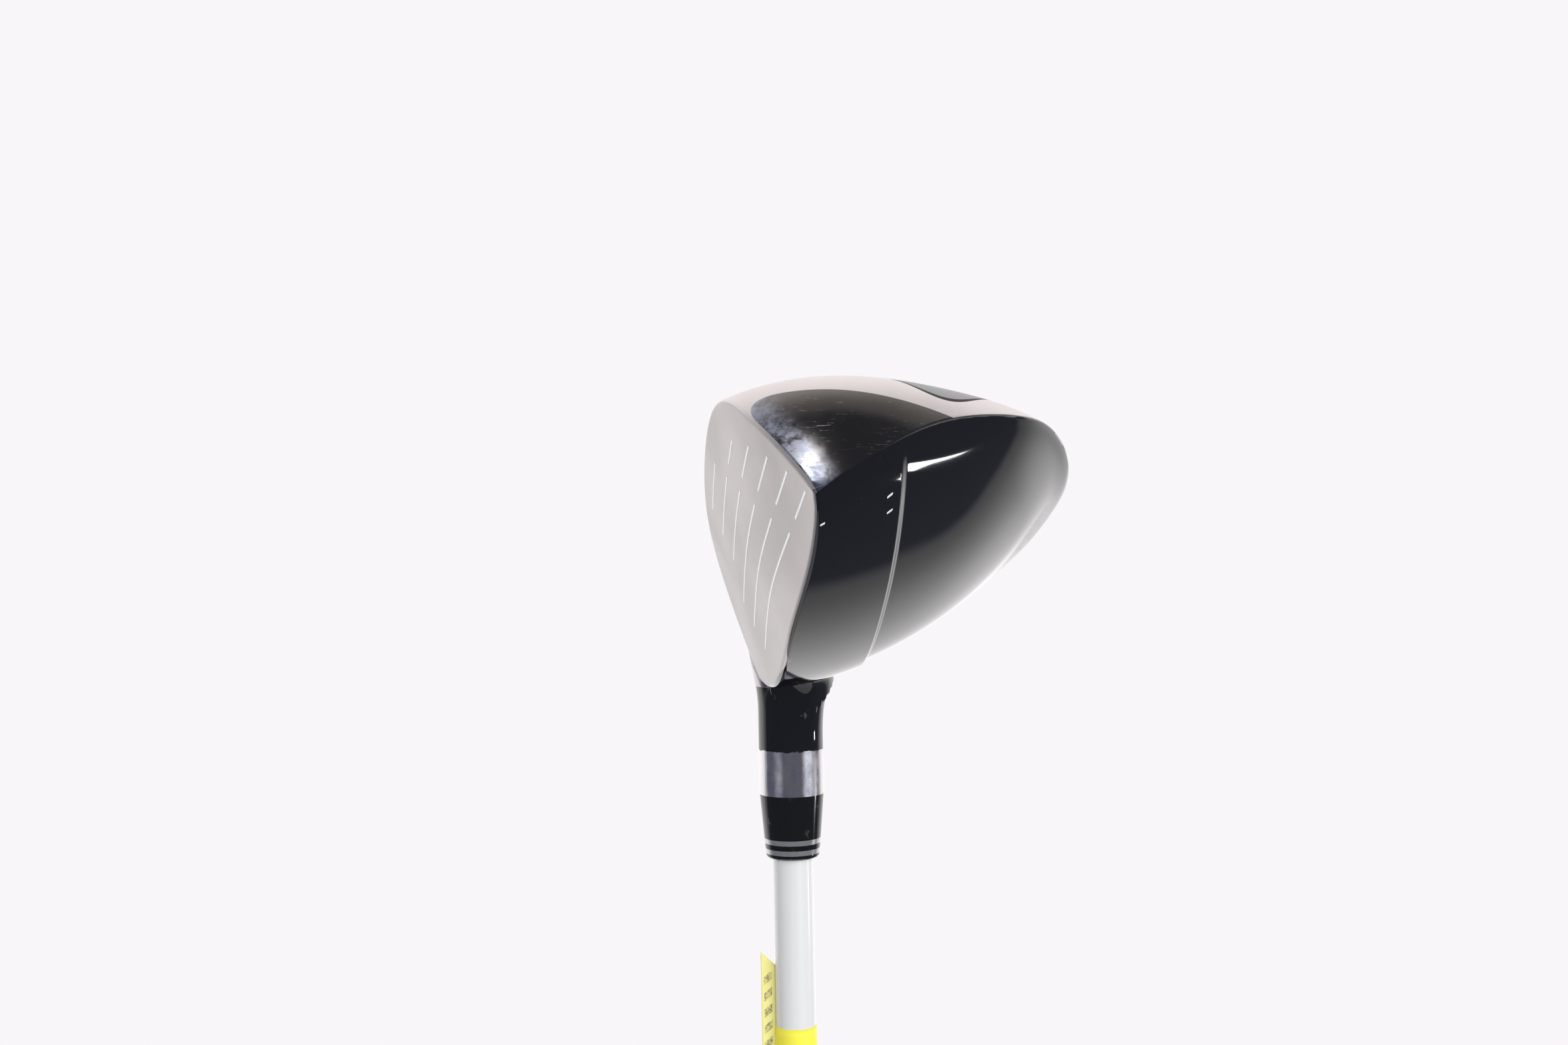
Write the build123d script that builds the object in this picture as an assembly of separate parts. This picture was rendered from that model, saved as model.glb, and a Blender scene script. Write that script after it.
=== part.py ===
from build123d import *
from math import atan2, cos, hypot, pi, radians, sin, sqrt
import os

# Fairway wood, right-handed, with its shaft standing vertically, grip down and head up.
# Row frame: +Z runs along the shaft axis from the butt to the head, the origin is the
# centre of the butt cap's end, the face looks towards -X and the toe leans towards -Y.
# All lengths are millimetres and all angles are degrees.

# --- driving dimensions of the club ---
CLUB_LENGTH = 1080.0        # butt to the sole, along the shaft axis
LIE = 58.6                  # shaft to ground
LOFT = 17.3                 # face plane to vertical
HOSEL_TOP = 51.8            # hosel rim above the sole, along the shaft axis

# --- head shape, in the address frame: back, toe and up from the shaft's ground point ---
CENTRE_BACK = 14.0          # middle of the head's plan outline
CENTRE_TOE = 36.0
# plan radius and height of the crown's edge, every 30 degrees from the toe round the back
EDGE_RADIUS = (38.2, 33.6, 34.1, 37.1, 39.0, 38.0, 39.7, 45.2, 52.1, 57.8, 57.6, 49.6)
EDGE_HEIGHT = (20.2, 11.3, 6.7, 7.1, 11.4, 18.4, 21.6, 28.2, 37.7, 46.3, 49.3, 39.1)
CROWN_HEIGHT = 34.1         # top surface above the middle of the outline
CROWN_SCALE = 40.0          # length unit of the crown's slopes and curvatures
CROWN_TOE_SLOPE = -0.65
CROWN_BACK_SLOPE = -19.7
CROWN_TOE_CURVE = -6.2
CROWN_BACK_CURVE = -10.2
CROWN_TWIST = -6.2
CROWN_BACK_FLARE = -1.1
SHOULDER = 4.1              # higher is a flatter crown with a tighter shoulder
SKIRT = 7.9                 # higher is a flatter sole with a steeper skirt
SOLE_HEIGHT = 1.0           # lowest part of the sole above the ground point

# --- face ---
FACE_TOE = 48.3             # middle of the face
FACE_FORWARD = 20.25        # leading edge ahead of the shaft axis
FACE_BULGE = 393.0          # horizontal radius of the face
FACE_THICKNESS = 2.6
GROOVE_FIRST = 7.4          # first score line above the leading edge, along the face
GROOVE_PITCH = 5.72
GROOVE_WIDTH = 0.7
GROOVE_DEPTH = 0.3
GROOVE_HEELS = (27.5, 26.9, 26.5, 19.0, 19.3, 20.3)     # heel end of each score line
GROOVE_TOES = (0.0, 60.4, 66.4, 71.0, 74.4, 76.4)       # toe end; the first stops at the stripe
STRIPE_TOE = 39.6           # toe position of the slanted plain stripe at the leading edge
STRIPE_SLANT = 0.67         # how far the stripe moves toe-wards for each mm up the face
STRIPE_WIDTH = 4.2

# --- walls of the hollow head ---
STATIONS = (-2.8, -1.5, 0.5, 4.0, 12.0, 22.0, 34.0, 46.0, 56.0, 64.0, 70.0, 74.0, 76.5, 78.0)
PARTING_RISE = 0.8          # the crown is cut off this far above its widest rim
CUTTER_REACH = 15.0         # the cutting block reaches this far past the head, front and rear
CUTTER_ROOF = 90.0
END_REACH = 2.0             # and this far past it at the heel and the toe

# --- pieces sealed in the head ---
FLOOR_GAP = 0.2
WEIGHT_BACK = 27.0
WEIGHT_TOE = 34.0
WEIGHT_RADIUS = 7.5
WEIGHT_HEIGHT = 3.0
PAD_BACK = 4.0
PAD_TOE = 44.0
PAD_RADIUS = 10.0
PAD_HEIGHT = 2.0
WALL = 1.6

# --- hosel, ferrule and shaft tip ---
HOSEL_RADIUS = 6.85
BORE_RADIUS = 4.4
INSERT_DEPTH = 32.0         # shaft inside the hosel
TIP_RADIUS = 4.25
TIP_BORE = 2.6
PLUG_LENGTH = 5.0
TIP_PARALLEL = 150.0
BUTT_RADIUS = 7.6
BUTT_BORE = 6.4
BUTT_PARALLEL = 290.0
PIN_LENGTH = 14.0
FERRULE_PARTS = (           # name, length, radius at the hosel side, radius at the grip side
    ("ferrule_body", 9.3, 6.80, 6.02),
    ("ferrule_ring_upper", 1.05, 6.02, 5.92),
    ("ferrule_spacer", 1.10, 5.92, 5.80),
    ("ferrule_ring_lower", 1.05, 5.80, 5.68),
)
FERRULE_TIP_LENGTH = 1.0
FERRULE_TIP_RADIUS = 5.66

# --- grip ---
GRIP_LENGTH = 268.0
GRIP_MOUTH_RADIUS = 9.4
GRIP_BUTT_RADIUS = 13.2
TAPE_THICKNESS = 0.25
CAP_THICKNESS = 4.0
CAP_RADIUS = 13.8
CAP_ROUND = 2.5
VENT_RADIUS = 1.2
TAPE_MARGIN = 8.0

# --- paper label wrapped round the shaft ---
LABEL_FROM_SOLE = 101.0     # label's head-side edge below the sole's ground point
LABEL_LENGTH = 48.0
LABEL_THICKNESS = 0.15
FLAG_RISE = 16.0            # the flag starts this far above the wrap
FLAG_REACH = 3.0
FLAG_THICKNESS = 0.4

SOLE_Z = CLUB_LENGTH
HOSEL_Z = SOLE_Z - HOSEL_TOP
TIP_Z = HOSEL_Z + INSERT_DEPTH
UP_AT_ADDRESS = (0, -cos(radians(LIE)), -sin(radians(LIE)))
HEAD_PLANE = Plane(origin=(0, 0, SOLE_Z), x_dir=(1, 0, 0), z_dir=UP_AT_ADDRESS)


def periodic(values, angle):
    """Smooth periodic curve through values spaced evenly round a circle."""
    count = len(values)
    total = 0.0
    for index, value in enumerate(values):
        turn = angle - 2 * pi * index / count
        weight = 1.0 + cos(count / 2 * turn)
        for order in range(1, count // 2):
            weight += 2 * cos(order * turn)
        total += value * weight / count
    return total


def crown_top(back, toe):
    """Height of the crown's broad top surface."""
    x = (toe - CENTRE_TOE) / CROWN_SCALE
    y = (back - CENTRE_BACK) / CROWN_SCALE
    slopes = CROWN_TOE_SLOPE * x + CROWN_BACK_SLOPE * y
    curves = CROWN_TOE_CURVE * x * x + CROWN_BACK_CURVE * y * y
    return CROWN_HEIGHT + slopes + curves + CROWN_TWIST * x * y + CROWN_BACK_FLARE * x * x * y


def edge_share(back, toe, inset):
    """Plan distance from the middle as a share of the crown edge's, and that edge's height."""
    angle = atan2(back - CENTRE_BACK, toe - CENTRE_TOE)
    radius = periodic(EDGE_RADIUS, angle) - inset
    share = hypot(back - CENTRE_BACK, toe - CENTRE_TOE) / radius
    return min(share, 1.0), periodic(EDGE_HEIGHT, angle)


def crown_height(back, toe, inset):
    """Height of the crown, which rounds over its shoulder down to its edge."""
    share, edge = edge_share(back, toe, inset)
    return edge + (crown_top(back, toe) - inset - edge) * sqrt(1 - share ** SHOULDER)


def sole_height(back, toe, inset):
    """Height of the flat sole, which turns up into the skirt and meets the crown's edge."""
    share, edge = edge_share(back, toe, inset)
    return edge + (SOLE_HEIGHT + inset - edge) * (1 - share ** SKIRT)


def face_point(toe, up, depth):
    """Point on the bulged and lofted face, or depth behind it."""
    bulge = FACE_BULGE - sqrt(FACE_BULGE ** 2 - (toe - FACE_TOE) ** 2)
    inward = bulge + depth
    back = -FACE_FORWARD + up * sin(radians(LOFT)) + inward * cos(radians(LOFT))
    height = up * cos(radians(LOFT)) - inward * sin(radians(LOFT))
    return back, height


def solve(inside, low, high):
    """Value between low, where inside is true, and high, where it is false."""
    for _ in range(40):
        middle = (low + high) / 2
        if inside(middle):
            low = middle
        else:
            high = middle
    return low


def rear_back(toe, inset):
    """Back coordinate where the crown's edge crosses one heel-to-toe station."""
    def within(back):
        return edge_share(back, toe, inset)[0] < 1.0
    inner = next(back for back in range(-14, 30) if within(back))
    return solve(within, inner, 80.0)


def face_limits(toe, inset, depth):
    """Lowest and highest distance up the face that lie inside the head's skin."""
    def between(up):
        back, height = face_point(toe, up, depth)
        return sole_height(back, toe, inset) < height < crown_height(back, toe, inset)
    inner = next(up for up in (20 + step for step in range(30)) if between(up))
    return solve(between, inner, 0.0), solve(between, inner, 60.0)


def station(toe, inset=0.0, depth=FACE_THICKNESS):
    """Closed section of the head at one heel-to-toe station: sole, crown and face line."""
    low, high = face_limits(toe, inset, depth)
    front_low = face_point(toe, low, depth)
    front_high = face_point(toe, high, depth)
    rear = rear_back(toe, inset)
    sole = curve_points(toe, front_low[0], rear, inset, sole_height)
    crown = curve_points(toe, front_high[0], rear, inset, crown_height)
    edges = [Edge.make_spline(sole), Edge.make_spline(crown[::-1])]
    edges.append(Edge.make_line(crown[0], sole[0]))
    return Wire(edges)


def curve_points(toe, front, rear, inset, height, count=13):
    """Points along the crown or the sole at one station, closer together at the rear."""
    points = []
    for index in range(count - 1):
        back = front + (rear - front) * sin(pi / 2 * index / (count - 1))
        points.append((back, toe, height(back, toe, inset)))
    points.append((rear, toe, edge_share(rear, toe, inset)[1]))
    return points


def loft_stations(toes, inset, depth):
    """Solid through the sections at a list of heel-to-toe stations."""
    return Solid.make_loft([station(toe, inset, depth) for toe in toes], ruled=True)


def head_hull():
    """Hollow head behind the face, open towards the face plate."""
    outside = loft_stations(STATIONS, 0.0, FACE_THICKNESS)
    heel_end, toe_end = STATIONS[0], STATIONS[-1]
    shrink = 1 - 2 * WALL / (toe_end - heel_end)
    cavity_toes = [heel_end + WALL + (toe - heel_end) * shrink for toe in STATIONS]
    cavity = loft_stations(cavity_toes, WALL, FACE_THICKNESS - 1.0)
    return outside - cavity


def face_blank():
    """Bulged plate between the struck surface and the hull's open front."""
    sections = []
    for toe in STATIONS:
        low, high = face_limits(toe, 0.0, FACE_THICKNESS)
        corners = [(low, 0.0), (high, 0.0), (high, FACE_THICKNESS), (low, FACE_THICKNESS)]
        points = [face_point(toe, up, depth) for up, depth in corners]
        sections.append(Wire.make_polygon([(back, toe, up) for back, up in points]))
    return Solid.make_loft(sections, ruled=True)


def crown_cutter():
    """Block above the crown's edge, reaching from the topline to the rear."""
    reach = [(STATIONS[0], -END_REACH)] + [(toe, 0.0) for toe in STATIONS] + [(STATIONS[-1], END_REACH)]
    sections = []
    for toe, overrun in reach:
        rear_height = edge_share(rear_back(toe, 0.0), toe, 0.0)[1] + PARTING_RISE
        rear = Vector(rear_back(toe, 0.0), toe + overrun, rear_height)
        front_back, front_up = face_point(toe, face_limits(toe, 0.0, FACE_THICKNESS)[1], 0.0)
        front = Vector(front_back, toe + overrun, front_up - WALL)
        beyond = (rear - front).normalized() * CUTTER_REACH
        low_rear = rear + beyond
        low_front = front - beyond
        high_front = Vector(low_front.X, low_front.Y, CUTTER_ROOF)
        high_rear = Vector(low_rear.X, low_rear.Y, CUTTER_ROOF)
        sections.append(Wire.make_polygon([low_rear, low_front, high_front, high_rear]))
    return Solid.make_loft(sections, ruled=True)


def score_lines():
    """Shallow grooves across the face, parted by a slanted plain stripe."""
    out_of_face = (-cos(radians(LOFT)), 0, sin(radians(LOFT)))
    grooves = []
    for index, (heel, toe) in enumerate(zip(GROOVE_HEELS, GROOVE_TOES)):
        up = GROOVE_FIRST + index * GROOVE_PITCH
        stripe = STRIPE_TOE + STRIPE_SLANT * up
        for start, end in ((heel, stripe), (stripe + STRIPE_WIDTH, toe)):
            if start < end:
                middle = (start + end) / 2
                back, height = face_point(middle, up, 0.0)
                place = Plane(origin=(back, middle, height), x_dir=(0, 1, 0), z_dir=out_of_face)
                grooves.append(place * Box(end - start, GROOVE_WIDTH, 2 * GROOVE_DEPTH))
    return grooves


def shaft_solid(stations):
    """Solid of revolution about the shaft axis through (height, radius) stations."""
    outline = [(0, stations[0][0])] + [(r, z) for z, r in stations] + [(0, stations[-1][0])]
    profile = Plane.XZ * make_face(Polyline(*outline, close=True))
    return revolve(profile, Axis.Z)


def rod(radius, bottom, top):
    """Plain cylinder on the shaft axis between two heights."""
    return Pos(0, 0, bottom) * Cylinder(radius, top - bottom, align=(Align.CENTER, Align.CENTER, Align.MIN))


def hosel_outside():
    """Neck: a straight tube that flares into a rounded heel."""
    heel = [
        (HOSEL_Z, HOSEL_RADIUS),
        (HOSEL_Z + 14.0, HOSEL_RADIUS),
        (HOSEL_Z + 20.0, HOSEL_RADIUS + 0.5),
        (HOSEL_Z + 26.0, HOSEL_RADIUS + 1.6),
        (HOSEL_Z + 33.0, HOSEL_RADIUS + 2.4),
        (HOSEL_Z + 40.0, HOSEL_RADIUS + 2.2),
        (HOSEL_Z + 44.0, HOSEL_RADIUS + 0.9),
        (HOSEL_Z + 47.0, HOSEL_RADIUS - 1.8),
        (HOSEL_Z + 48.6, HOSEL_RADIUS - 4.6),
    ]
    return shaft_solid(heel)


def head_parts():
    """Crown, body, face, neck and the pieces on and inside the hollow head."""
    hull = HEAD_PLANE.location * head_hull()
    cutter = HEAD_PLANE.location * crown_cutter()
    neck = hosel_outside()
    crown = (hull & cutter) - neck
    body = (hull - cutter) - neck
    face = HEAD_PLANE.location * (face_blank() - score_lines()) - neck
    bore = rod(BORE_RADIUS, HOSEL_Z, TIP_Z + PLUG_LENGTH)
    return {
        "crown_shell": crown,
        "head_body": body,
        "face_plate": face,
        "hosel_neck": neck - bore,
    }


def head_fillings():
    """Pieces sealed inside the head: rear weight, rattle pad and the plug below the shaft."""
    floor = SOLE_HEIGHT + WALL + FLOOR_GAP
    weight = Pos(WEIGHT_BACK, WEIGHT_TOE, floor) * Cylinder(
        WEIGHT_RADIUS, WEIGHT_HEIGHT, align=(Align.CENTER, Align.CENTER, Align.MIN)
    )
    pad = Pos(PAD_BACK, PAD_TOE, floor) * Cylinder(
        PAD_RADIUS, PAD_HEIGHT, align=(Align.CENTER, Align.CENTER, Align.MIN)
    )
    return {
        "rear_weight": HEAD_PLANE.location * weight,
        "hot_melt_pad": HEAD_PLANE.location * pad,
        "hosel_plug": rod(BORE_RADIUS, TIP_Z, TIP_Z + PLUG_LENGTH),
    }


def ferrule_parts():
    """Ferrule: a tapered collar, two bright rings, a spacer and a rounded tip."""
    parts = {}
    top = HOSEL_Z
    for name, length, hosel_radius, grip_radius in FERRULE_PARTS:
        solid = shaft_solid([(top - length, grip_radius), (top, hosel_radius)])
        parts[name] = solid - rod(TIP_RADIUS, top - length, top)
        top -= length
    bottom = top - FERRULE_TIP_LENGTH
    nose = rod(FERRULE_TIP_RADIUS, bottom, top)
    nose = fillet(nose.edges().group_by(Axis.Z)[0], FERRULE_TIP_LENGTH * 0.8)
    parts["ferrule_tip"] = nose - rod(TIP_RADIUS, bottom, top)
    return parts


def shaft_parts():
    """Tapered hollow shaft, its bond in the hosel and the pin in its tip."""
    taper_start = TIP_Z - TIP_PARALLEL
    outside = [
        (CAP_THICKNESS, BUTT_RADIUS),
        (CAP_THICKNESS + BUTT_PARALLEL, BUTT_RADIUS),
        (taper_start, TIP_RADIUS),
        (TIP_Z, TIP_RADIUS),
    ]
    inside = [
        (CAP_THICKNESS, BUTT_BORE),
        (CAP_THICKNESS + BUTT_PARALLEL, BUTT_BORE),
        (taper_start, TIP_BORE),
        (TIP_Z, TIP_BORE),
    ]
    bond = rod(BORE_RADIUS, HOSEL_Z, TIP_Z) - rod(TIP_RADIUS, HOSEL_Z, TIP_Z)
    return {
        "shaft": shaft_solid(outside) - shaft_solid(inside),
        "epoxy_bond": bond,
        "tip_weight": rod(TIP_BORE, TIP_Z - PIN_LENGTH, TIP_Z),
    }


def label_parts():
    """Paper retail label wrapped round the shaft, with its ends stuck together as a flag."""
    top = SOLE_Z - LABEL_FROM_SOLE
    outer = TIP_RADIUS + LABEL_THICKNESS
    wrap = rod(outer, top - LABEL_LENGTH, top) - rod(TIP_RADIUS, top - LABEL_LENGTH, top)
    flag_z = top - LABEL_LENGTH + (LABEL_LENGTH + FLAG_RISE) / 2
    flag = Pos(-outer - FLAG_REACH / 2, 0, flag_z) * Box(FLAG_REACH, FLAG_THICKNESS, LABEL_LENGTH + FLAG_RISE)
    return {"shaft_label": wrap, "label_flag": flag}


def grip_parts():
    """Rubber sleeve on its tape, and the vented end cap."""
    bottom = CAP_THICKNESS
    mouth = bottom + GRIP_LENGTH
    tape_radius = BUTT_RADIUS + TAPE_THICKNESS
    tape = rod(tape_radius, bottom, mouth - TAPE_MARGIN) - rod(BUTT_RADIUS, bottom, mouth - TAPE_MARGIN)
    sleeve = shaft_solid([(bottom, GRIP_BUTT_RADIUS), (mouth, GRIP_MOUTH_RADIUS)])
    sleeve -= rod(tape_radius, bottom, mouth)
    cap = fillet(rod(CAP_RADIUS, 0, bottom).edges().group_by(Axis.Z)[0], CAP_ROUND)
    cap -= rod(VENT_RADIUS, 0, bottom)
    return {"grip_tape": tape, "grip_sleeve": sleeve, "grip_cap": cap}


def main():
    os.makedirs("parts", exist_ok=True)
    groups = (head_parts, head_fillings, ferrule_parts, shaft_parts, label_parts, grip_parts)
    for group in groups:
        for name, shape in group().items():
            export_step(shape, f"parts/{name}.step")


if __name__ == "__main__":
    main()
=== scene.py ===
from math import cos, pi, radians, sin

import bpy
import numpy as np
from mathutils import Matrix, Vector


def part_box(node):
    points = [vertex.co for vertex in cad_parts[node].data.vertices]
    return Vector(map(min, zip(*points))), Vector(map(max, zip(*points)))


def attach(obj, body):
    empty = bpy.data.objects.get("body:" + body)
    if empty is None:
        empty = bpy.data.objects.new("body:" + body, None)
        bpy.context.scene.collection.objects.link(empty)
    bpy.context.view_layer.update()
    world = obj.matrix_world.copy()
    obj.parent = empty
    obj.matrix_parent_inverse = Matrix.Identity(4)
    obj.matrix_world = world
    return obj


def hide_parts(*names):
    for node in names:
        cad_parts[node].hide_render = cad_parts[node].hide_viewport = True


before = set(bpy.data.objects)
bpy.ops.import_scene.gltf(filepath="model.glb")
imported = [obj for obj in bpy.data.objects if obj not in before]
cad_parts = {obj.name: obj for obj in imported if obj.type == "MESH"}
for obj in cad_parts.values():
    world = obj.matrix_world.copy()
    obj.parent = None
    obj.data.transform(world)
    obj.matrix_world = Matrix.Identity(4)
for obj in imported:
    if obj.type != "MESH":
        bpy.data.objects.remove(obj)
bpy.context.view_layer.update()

# Head shape in millimetres, in the address frame: b back, t toe and c up from the point
# where the shaft axis meets the ground. The row frame is in metres.
# The crown's edge is given every 30 degrees from the toe, round the back, in plan and height.
LIE = radians(58.6)
LOFT = radians(17.3)
SOLE_Z = 1080.0
HOSEL_TOP = 51.8
CENTRE_BACK, CENTRE_TOE = 14.0, 36.0
EDGE_RADIUS = (38.2, 33.7, 34.6, 38.0, 40.3, 38.5, 39.7, 45.2, 52.1, 57.8, 57.6, 49.6)
EDGE_HEIGHT = (20.2, 11.0, 5.6, 4.6, 7.0, 15.2, 21.0, 28.2, 37.7, 46.3, 49.3, 39.1)
CROWN_HEIGHT, CROWN_SCALE = 34.1, 40.0
CROWN_FALL_TOE, CROWN_FALL_BACK = 0.65, 19.7
CROWN_BEND_TOE, CROWN_BEND_BACK, CROWN_TWIST, CROWN_SKEW = 6.2, 10.2, 6.2, 1.1
SHOULDER, SKIRT, SOLE_HEIGHT = 4.1, 7.9, 1.0
FACE_TOE, FACE_FORWARD, FACE_BULGE, CORNER_BACK = 48.3, 20.25, 393.0, 2.7
CREASE_BACK, CREASE_RISE, CREASE_WIDTH = 11.7, 1.2, 1.4
TOPLINE_ROUND, LEADING_ROUND, RIM_ROUND = 1.0, 0.8, 6.0
MID_FACE_HEIGHT = 24.0
HEEL_BLEND_TOE, HEEL_BLEND_WIDTH = 12.0, 12.0
EDGE_LEAN = 0.25

# Neck shape. Where one finish or piece ends, it is a distance up the shaft from the ground point.
HOSEL_RADIUS, HOSEL_FLARE = 6.85, 2.2
FLARE_TOP, FLARE_LENGTH = 34.0, 18.0
HOSEL_FOOT, FOOT_ROUND = 6.0, 9.0
HEEL_END, HEEL_ROUND, HOSEL_BLEND = 31.0, 6.0, 12.0
NECK_START, NECK_PAINT_START, BARE_START = 27.0, 29.0, 42.9
BORE_SHARE = 0.64

# Section planes and rays that sample the head.
HINGE_TOE, HINGE_SHAFT, TOE_END = 25.0, 46.0, 78.7
NECK_RINGS, FAN_RINGS, HEAD_RINGS = 8, 60, 110
RING_COLUMNS = (70, 60, 60, 100)

# Marks on the face, painted reflections on the crown, the label and the grip, in millimetres. On the
# face, up is measured along the face from the height of the face's lowest point.
LINE_FIRST, LINE_PITCH, LINE_WIDTH = 7.4, 5.72, 0.5
LINE_HEELS = (27.5, 26.9, 26.5, 19.0, 19.3, 20.3)
LINE_TOES = (0.0, 60.4, 66.4, 71.0, 74.4, 76.4)
STRIPE_TOE, STRIPE_SLANT, STRIPE_WIDTH = 39.6, 0.67, 4.2
# White dashes on the crown, as back, toe and length, that are painted reflections of window light.
CROWN_REFLECTION_MARKS = ((9.0, 70.3, 1.1), (9.2, 67.4, 1.1), (-3.5, 73.3, 0.9))
LABEL_THICKNESS = 0.15
LABEL_YELLOW = (0.95, 0.88, 0.05, 1.0)
FLAG_YELLOW = (0.93, 0.87, 0.30, 1.0)
GRIP_MOUTH_RADIUS = 9.4
GRIP_DEPTH, RING_DEPTH, RING_HALF_WIDTH = 0.4, 0.45, 0.9
GRIP_RINGS = (9.0, 13.0, 256.0, 260.0)

# The studio, in metres.
HEAD_MIDDLE = Vector((0.005, -0.055, 1.05))
CAMERA_PLACE = (-0.0434, -0.3781, 1.0895)
FLOOR_RADIUS = 0.6


def fourier(values):
    """Coefficients of the smooth periodic curve through evenly spaced values."""
    parts = np.fft.rfft(values) / len(values)
    parts[1:-1] *= 2
    return parts


def on_circle(parts, turn):
    """Value of a fourier curve where turn is a unit complex number."""
    total = np.full(turn.shape, parts[-1])
    for part in parts[-2::-1]:
        total = total * turn + part
    return total.real


def smooth(x):
    """Eased step from 0 to 1."""
    x = np.clip(x, 0, 1)
    return x * x * (3 - 2 * x)


def smooth_max(a, b, size):
    """The larger of two distances, rounded off where they are within size of each other."""
    near = np.maximum(size - np.abs(a - b), 0) / size
    return np.maximum(a, b) + near * near * size / 4


RADIUS_PARTS = fourier(EDGE_RADIUS)
HEIGHT_PARTS = fourier(EDGE_HEIGHT)


def edge(b, t):
    """Share of the crown outline's radius, and the height of the crown's edge, at a plan point."""
    offset = (t - CENTRE_TOE) + 1j * (b - CENTRE_BACK)
    radius = np.abs(offset) + 1e-9
    turn = offset / radius
    return radius / on_circle(RADIUS_PARTS, turn), on_circle(HEIGHT_PARTS, turn)


def crown_top(b, t, share):
    """Crown surface, with its front strip standing a step above the rest."""
    x = (t - CENTRE_TOE) / CROWN_SCALE
    y = (b - CENTRE_BACK) / CROWN_SCALE
    fall = CROWN_FALL_TOE * x + CROWN_FALL_BACK * y
    bend = CROWN_BEND_TOE * x * x + CROWN_BEND_BACK * y * y + CROWN_TWIST * x * y + CROWN_SKEW * x * x * y
    step = 1 - smooth((b - CREASE_BACK) / CREASE_WIDTH + 0.5)
    return CROWN_HEIGHT - fall - bend + CREASE_RISE * step * smooth((1 - share) / 0.06)


def crown_rise(b, t, share, rim):
    """Height of the crown above its edge, which behind the middle is at least a low dome."""
    least = 2.5 - 60.0 * smooth((24 - b) / 10)
    return smooth_max(crown_top(b, t, share) - rim, least, 3.0)


def past_outline(share, power):
    """Share to a power inside the outline, carried on in a straight line outside it."""
    return np.minimum(share, 1) ** power + power * np.maximum(share - 1, 0)


def above_rim(b, t, c):
    """Implicit crown that is also smooth outside the head, for the heel."""
    share, rim = edge(b, t)
    depth = np.maximum(crown_rise(b, t, share, rim), 2 + 20 * np.maximum(share - 1, 0))
    up = (c - rim) / depth
    return up * np.abs(up) + past_outline(share, SHOULDER) - 1


def below_rim(b, t, c):
    """Implicit skirt and sole that are also smooth outside the head, for the heel."""
    share, rim = edge(b, t)
    down = (rim - c) / np.maximum(rim - SOLE_HEIGHT, 2.0)
    return down + past_outline(share, SKIRT) - 1


def plain_skin(b, t, c):
    """Head skin between the crown's and the sole's height."""
    share, rim = edge(b, t)
    inside = np.minimum(share, 1)
    above = c - rim - crown_rise(b, t, inside, rim) * np.sqrt(1 - inside ** SHOULDER)
    below = rim + (SOLE_HEIGHT - rim) * (1 - inside ** SKIRT) - c
    return np.maximum(above, below) + 45 * np.maximum(share - 1, 0)


def as_distance(field, b, t, c):
    """Field divided by its slope, which is close to a distance in millimetres."""
    small = 0.02
    value = field(b, t, c)
    slopes = (field(b + small, t, c), field(b, t + small, c), field(b, t, c + small))
    slope = np.sqrt(sum((other - value) ** 2 for other in slopes)) / small
    return value / np.maximum(slope, 1e-3)


def blend(a, b, share):
    """Value share of the way from a to b."""
    return a + (b - a) * share


def skin(b, t, c):
    """Distance outside the crown, skirt and sole."""
    over_rim = smooth((c - edge(b, t)[1]) / RIM_ROUND + 0.5)
    heel = blend(as_distance(below_rim, b, t, c), as_distance(above_rim, b, t, c), over_rim)
    over_heel = smooth((t - HEEL_BLEND_TOE) / HEEL_BLEND_WIDTH)
    return blend(heel, as_distance(plain_skin, b, t, c), over_heel)


def over_edge(b, t, c):
    """Above 0 on the crown's side of its edge; a height in millimetres close to the edge."""
    share, rim = edge(b, t)
    sole = rim + (SOLE_HEIGHT - rim) * (1 - np.minimum(share, 1) ** SKIRT)
    return np.maximum(c - rim, c - sole - 3)


def face_bulge(t, c):
    """How far the face lies behind a plane: it curves back, most at its high toe corner."""
    corner = smooth((t - 40) / 40) * smooth((c - 12) / 26)
    return FACE_BULGE - np.sqrt(FACE_BULGE ** 2 - (t - FACE_TOE) ** 2) + CORNER_BACK * corner


def face_depth(b, t, c):
    """Distance behind the bulged face."""
    return (b + FACE_FORWARD) * cos(LOFT) - c * sin(LOFT) - face_bulge(t, c)


def shaft_distance(b, t, c):
    """Distance up the shaft from the ground point, and distance from the shaft axis."""
    along = c * sin(LIE) - t * cos(LIE)
    return along, np.hypot(b, t * sin(LIE) + c * cos(LIE))


def hosel(b, t, c):
    """Distance outside the neck, which flares into the heel."""
    along, radius = shaft_distance(b, t, c)
    wall = radius - HOSEL_RADIUS - HOSEL_FLARE * smooth((FLARE_TOP - along) / FLARE_LENGTH)
    return smooth_max(wall, HOSEL_FOOT - along, FOOT_ROUND)


def head(b, t, c):
    """Distance outside the whole head: skin and face, blended into the neck."""
    corner = np.where(c > MID_FACE_HEIGHT, TOPLINE_ROUND, LEADING_ROUND)
    shell = smooth_max(skin(b, t, c), -face_depth(b, t, c), corner)
    shell = smooth_max(shell, shaft_distance(b, t, c)[0] - HEEL_END, HEEL_ROUND)
    fillet = HOSEL_BLEND * (0.55 + 0.45 * smooth((b + 4) / 8))
    return -smooth_max(-shell, -hosel(b, t, c), fillet)


def to_row(b, t, c):
    """Row-frame points, in millimetres, of points in the address frame."""
    return np.stack([b + 0 * t, -t * sin(LIE) - c * cos(LIE), SOLE_Z + t * cos(LIE) - c * sin(LIE)], -1)


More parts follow.
